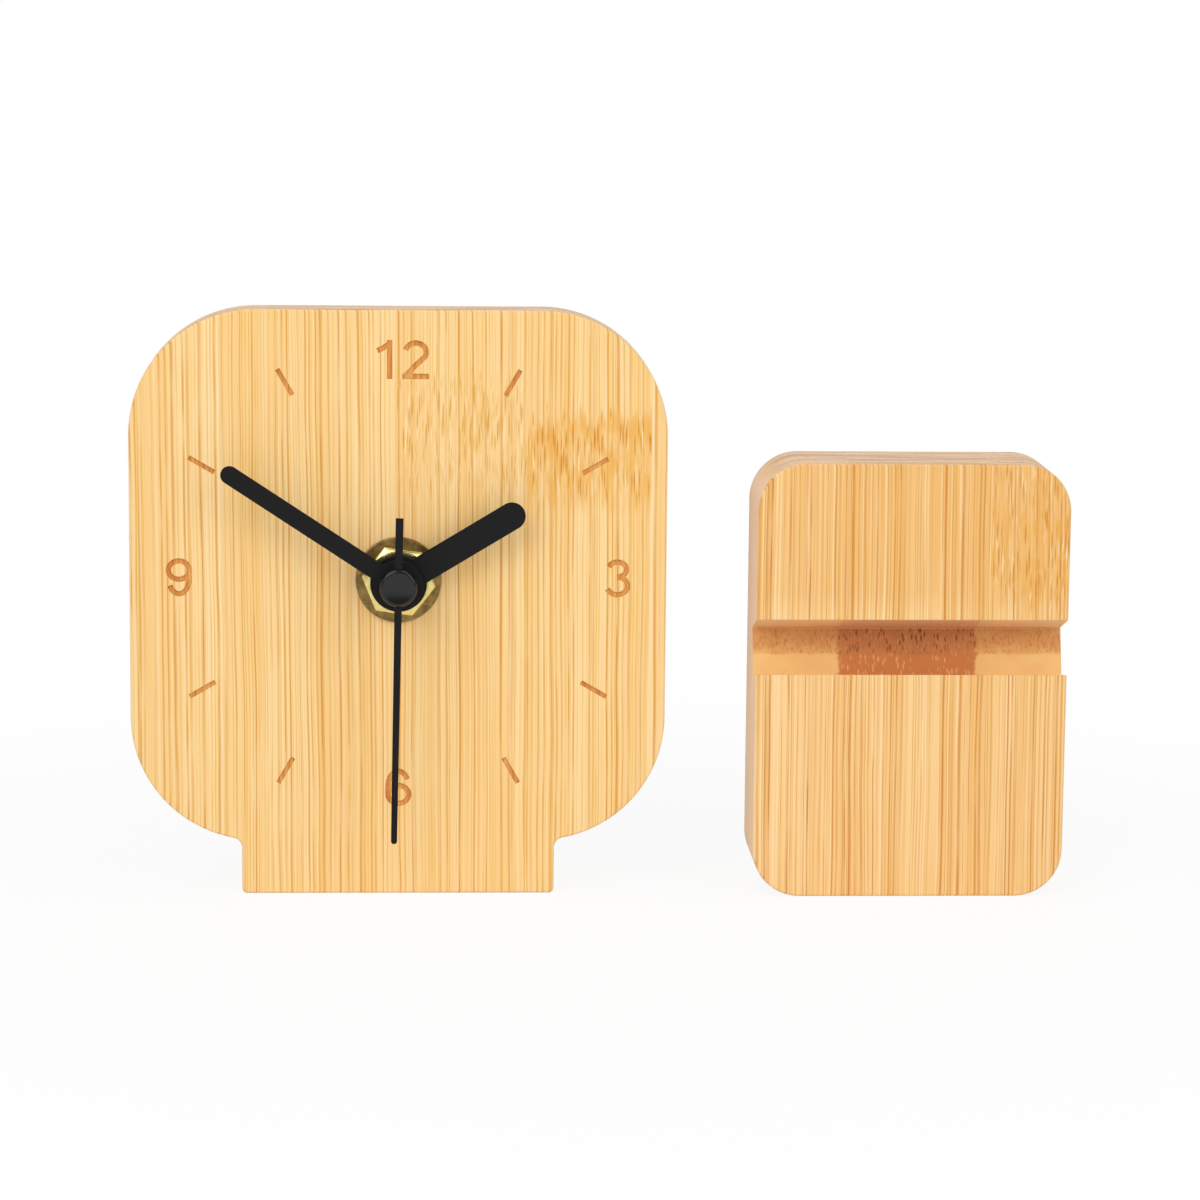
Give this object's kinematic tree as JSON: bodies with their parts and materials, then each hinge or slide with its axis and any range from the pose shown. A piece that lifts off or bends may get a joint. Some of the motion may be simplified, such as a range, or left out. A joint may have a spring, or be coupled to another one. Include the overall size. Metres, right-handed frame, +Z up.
{
  "type": "desk clock",
  "caption": "Rounded square bamboo desk clock on a narrow foot, with black bar hands and a battery movement behind, standing beside its loose slotted base.",
  "frame": {"origin": "middle of the underside of the clock plate's foot, halfway through the plate's thickness", "axes": "+Z up, +X to the viewer's right as they face the dial, +Y from the dial towards the movement behind it"},
  "size_m": [0.1754, 0.0387, 0.1102],
  "materials": {
    "bamboo": "sanded and lightly oiled, fine vertical grain",
    "aged_brass": "dull, slightly tarnished",
    "bright_brass": "machined, semi-bright",
    "gasket_rubber": "matte",
    "case_plastic": "moulded, finely textured black",
    "carrier_plastic": "moulded, off-white",
    "gear_plastic": "moulded acetal, natural",
    "cell_jacket": "plain printed film over a steel can",
    "contact_steel": "nickel plated",
    "board": "green solder resist",
    "can_metal": "drawn and plated",
    "chip_epoxy": "black potting resin",
    "copper_wire": "enamelled copper wire",
    "soft_iron": "stamped, dull",
    "magnet": "sintered, dark grey",
    "arbor_steel": "ground",
    "hand_black": "matte black paint"
  },
  "bodies": {
    "clock": {"dial_plate": "bamboo", "washer": "aged_brass", "hex_nut": "bright_brass", "threaded_bushing": "bright_brass", "rubber_gasket": "gasket_rubber", "front_case": "case_plastic", "rear_case": "case_plastic", "middle_plate": "carrier_plastic", "gear_bridge": "carrier_plastic", "positive_contact": "contact_steel", "negative_contact": "contact_steel", "circuit_board": "board", "quartz_crystal": "can_metal", "driver_chip": "chip_epoxy", "coil_bobbin": "carrier_plastic", "coil_winding": "copper_wire", "coil_core": "soft_iron", "stator": "soft_iron"},
    "second": {"second_wheel": "gear_plastic", "second_arbor": "arbor_steel", "second_hand": "hand_black", "second_hand_collar": "bright_brass", "second_hand_cap": "hand_black"},
    "intermediate": {"intermediate_wheel": "gear_plastic"},
    "rotor": {"rotor_magnet": "magnet", "rotor_pinion": "gear_plastic"},
    "third": {"third_wheel": "gear_plastic"},
    "drive_minute": {"minute_wheel": "gear_plastic"},
    "minute": {"cannon_pinion": "gear_plastic", "clutch_spring": "contact_steel", "minute_hand": "hand_black"},
    "motion": {"motion_wheel": "gear_plastic"},
    "hour": {"hour_wheel": "gear_plastic", "hour_hand": "hand_black"},
    "setting": {"setting_pinion": "gear_plastic", "setting_knob": "case_plastic"},
    "cell": {"battery": "cell_jacket"},
    "base": {"base_block": "bamboo"}
  },
  "joints": [
    {"name": "second_turn", "type": "hinge", "parent": "clock", "child": "second", "pos_m": [0, 0, 0.0599], "axis": [0, 1, 0], "continuous": true},
    {"name": "intermediate_turn", "type": "hinge", "parent": "clock", "child": "intermediate", "pos_m": [0.0059, 0, 0.06403], "axis": [0, 1, 0], "continuous": true},
    {"name": "rotor_turn", "type": "hinge", "parent": "clock", "child": "rotor", "pos_m": [0.00771, 0, 0.07079], "axis": [0, 1, 0], "continuous": true},
    {"name": "third_turn", "type": "hinge", "parent": "clock", "child": "third", "pos_m": [-0.0045, 0, 0.06769], "axis": [0, 1, 0], "continuous": true},
    {"name": "drive_minute_turn", "type": "hinge", "parent": "clock", "child": "drive_minute", "pos_m": [0, 0, 0.0599], "axis": [0, 1, 0], "continuous": true},
    {"name": "minute_turn", "type": "hinge", "parent": "clock", "child": "minute", "pos_m": [0, 0, 0.0599], "axis": [0, 1, 0], "continuous": true},
    {"name": "motion_turn", "type": "hinge", "parent": "clock", "child": "motion", "pos_m": [-0.00789, 0, 0.05703], "axis": [0, 1, 0], "continuous": true},
    {"name": "hour_turn", "type": "hinge", "parent": "clock", "child": "hour", "pos_m": [0, 0, 0.0599], "axis": [0, 1, 0], "continuous": true},
    {"name": "setting_turn", "type": "hinge", "parent": "clock", "child": "setting", "pos_m": [-0.01579, 0, 0.0599], "axis": [0, 1, 0], "continuous": true},
    {"name": "cell_slide", "type": "slide", "parent": "clock", "child": "cell", "axis": [0, 1, 0], "range_m": [0, 0.02]},
    {"name": "base_slide", "type": "slide", "parent": "clock", "child": "base", "axis": [1, 0, 0], "range_m": [0, 0.06]}
  ],
  "couplings": [
    {"joint": "intermediate_turn", "follows": "second_turn", "ratio": -5},
    {"joint": "rotor_turn", "follows": "second_turn", "ratio": 30},
    {"joint": "third_turn", "follows": "second_turn", "ratio": -0.125},
    {"joint": "drive_minute_turn", "follows": "second_turn", "ratio": 0.016667},
    {"joint": "motion_turn", "follows": "minute_turn", "ratio": -0.33333},
    {"joint": "hour_turn", "follows": "minute_turn", "ratio": 0.083333},
    {"joint": "setting_turn", "follows": "minute_turn", "ratio": 1}
  ]
}
